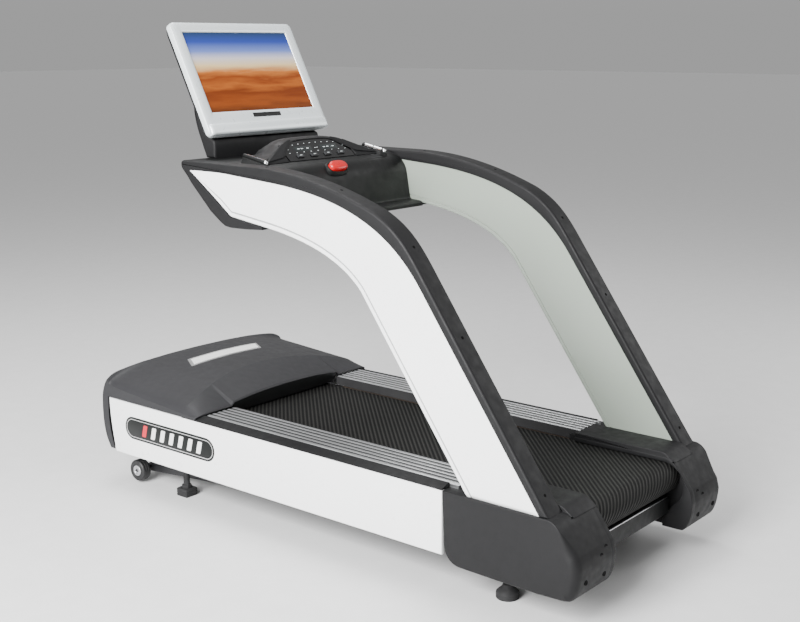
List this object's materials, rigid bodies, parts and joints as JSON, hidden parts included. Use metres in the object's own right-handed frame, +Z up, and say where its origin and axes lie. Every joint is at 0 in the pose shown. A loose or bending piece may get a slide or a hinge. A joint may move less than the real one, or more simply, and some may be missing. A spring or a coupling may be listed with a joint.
{
  "type": "treadmill",
  "caption": "Commercial treadmill with an inclining ribbed-rail base, grey motor hood, swept white side arms, console with key panel and stop button, and a leaning screen.",
  "frame": {"origin": "on the floor, under the middle of the machine", "axes": "+X to the runner's right, +Y in the running direction towards the motor hood, +Z up"},
  "size_m": [0.92, 2.118, 1.7182],
  "materials": {
    "white_panel": "glossy white moulded panel",
    "charcoal_moulding": "fine-textured charcoal moulding",
    "hood_moulding": "fine-textured grey moulding",
    "frame_paint": "black powder coat",
    "bright_steel": "turned steel",
    "rail_aluminium": "ribbed anodised extrusion",
    "running_belt": "patterned black belt cover",
    "drive_belt": "ribbed rubber",
    "foot_rubber": "moulded rubber",
    "wheel_rubber": "hard rubber tread",
    "deck_board": "waxed laminate board",
    "motor_iron": "painted casting",
    "controller_case": "folded sheet",
    "console_moulding": "fine-textured black moulding",
    "key_sheet": "gloss black sheet",
    "key_cap": "silver-grey key caps",
    "stop_red": "red moulding",
    "grip_chrome": "chrome-plated contact",
    "bezel_silver": "pale silver lacquer",
    "screen_glass": "lit display behind a clear sheet"
  },
  "bodies": {
    "feet": {"rear_foot_pad_left": "foot_rubber", "rear_foot_pad_right": "foot_rubber"},
    "base": {"arm_core_left": "frame_paint", "arm_core_right": "frame_paint", "arm_inner_panel_left": "white_panel", "arm_inner_panel_right": "white_panel", "arm_mount_left": "frame_paint", "arm_mount_right": "frame_paint", "arm_outer_panel_left": "white_panel", "arm_outer_panel_right": "white_panel", "arm_rim_left": "charcoal_moulding", "arm_rim_right": "charcoal_moulding", "chassis_rail_left": "frame_paint", "chassis_rail_right": "frame_paint", "console_housing": "console_moulding", "deck_cushion_left": "foot_rubber", "deck_cushion_right": "foot_rubber", "drive_belt": "drive_belt", "drive_motor": "motor_iron", "end_cap_left": "charcoal_moulding", "end_cap_right": "charcoal_moulding", "front_bearing_left": "frame_paint", "front_bearing_right": "frame_paint", "front_foot_left": "foot_rubber", "front_foot_right": "foot_rubber", "key_panel": "key_sheet", "lift_motor": "motor_iron", "middle_cross_member": "frame_paint", "motor_controller": "controller_case", "motor_hood": "hood_moulding", "motor_pan": "frame_paint", "pulse_grip_left": "grip_chrome", "pulse_grip_right": "grip_chrome", "rear_bearing_left": "frame_paint", "rear_bearing_right": "frame_paint", "rear_cross_bar": "charcoal_moulding", "running_belt": "running_belt", "running_deck": "deck_board", "side_panel_left": "white_panel", "side_panel_right": "white_panel", "side_rail_left": "rail_aluminium", "side_rail_right": "rail_aluminium", "tv_back_shell": "charcoal_moulding", "tv_bezel": "bezel_silver", "tv_neck": "charcoal_moulding", "tv_screen": "screen_glass"},
    "lift_frame": {"lift_frame": "frame_paint"},
    "lift_tube": {"lift_tube": "bright_steel"},
    "wheel_left": {"transport_wheel_left": "wheel_rubber"},
    "wheel_right": {"transport_wheel_right": "wheel_rubber"},
    "drive_roller": {"drive_roller": "bright_steel", "drive_pulley": "motor_iron"},
    "rear_roller": {"rear_roller": "bright_steel"},
    "motor_rotor": {"motor_rotor": "bright_steel"},
    "stop_button": {"stop_button": "stop_red"},
    "speed_down_key": {"speed_down_key": "key_cap"},
    "stop_key": {"stop_key": "key_cap"},
    "start_key": {"start_key": "key_cap"},
    "speed_up_key": {"speed_up_key": "key_cap"},
    "power_switch": {"power_switch": "key_sheet"}
  },
  "joints": [
    {"name": "incline", "type": "hinge", "parent": "feet", "child": "base", "pos_m": [0, -0.756, 0.046], "axis": [1, 0, 0], "range_deg": [0, 8.5]},
    {"name": "lift_swing", "type": "hinge", "parent": "base", "child": "lift_frame", "pos_m": [0, 0.394, 0.105], "axis": [1, 0, 0], "range_deg": [-29.56, 0.5]},
    {"name": "lift_screw", "type": "slide", "parent": "base", "child": "lift_tube", "axis": [0, 1, 0], "range_m": [-0.001, 0.0361]},
    {"name": "wheel_spin_left", "type": "hinge", "parent": "lift_frame", "child": "wheel_left", "pos_m": [-0.402, 0.909, 0.049], "axis": [1, 0, 0], "continuous": true},
    {"name": "wheel_spin_right", "type": "hinge", "parent": "lift_frame", "child": "wheel_right", "pos_m": [0.402, 0.909, 0.049], "axis": [1, 0, 0], "continuous": true},
    {"name": "belt_drive", "type": "hinge", "parent": "base", "child": "drive_roller", "pos_m": [0, 0.574, 0.262], "axis": [1, 0, 0], "continuous": true},
    {"name": "rear_roller_spin", "type": "hinge", "parent": "base", "child": "rear_roller", "pos_m": [0, -0.951, 0.262], "axis": [1, 0, 0], "continuous": true},
    {"name": "motor_spin", "type": "hinge", "parent": "base", "child": "motor_rotor", "pos_m": [0, 0.774, 0.295], "axis": [1, 0, 0], "continuous": true},
    {"name": "stop_press", "type": "slide", "parent": "base", "child": "stop_button", "axis": [0, 0.6508, -0.7593], "range_m": [0, 0.004], "stiffness_N_per_m": 1500, "springref_m": -0.002},
    {"name": "speed_down_press", "type": "slide", "parent": "base", "child": "speed_down_key", "axis": [0, 0.6947, -0.7193], "range_m": [0, 0.001], "stiffness_N_per_m": 800, "springref_m": -0.0005},
    {"name": "stop_key_press", "type": "slide", "parent": "base", "child": "stop_key", "axis": [0, 0.6947, -0.7193], "range_m": [0, 0.001], "stiffness_N_per_m": 800, "springref_m": -0.0005},
    {"name": "start_press", "type": "slide", "parent": "base", "child": "start_key", "axis": [0, 0.6947, -0.7193], "range_m": [0, 0.001], "stiffness_N_per_m": 800, "springref_m": -0.0005},
    {"name": "speed_up_press", "type": "slide", "parent": "base", "child": "speed_up_key", "axis": [0, 0.6947, -0.7193], "range_m": [0, 0.001], "stiffness_N_per_m": 800, "springref_m": -0.0005},
    {"name": "power_rock", "type": "hinge", "parent": "base", "child": "power_switch", "pos_m": [0.204, 0.9585, 0.203], "axis": [1, 0, 0], "range_deg": [-7, 7]}
  ],
  "couplings": [
    {"joint": "lift_swing", "follows": "incline", "ratio": -3.4194},
    {"joint": "lift_screw", "follows": "incline", "m_per_rad": 0.23671},
    {"joint": "rear_roller_spin", "follows": "belt_drive", "ratio": 1},
    {"joint": "motor_spin", "follows": "belt_drive", "ratio": 1.9643}
  ]
}
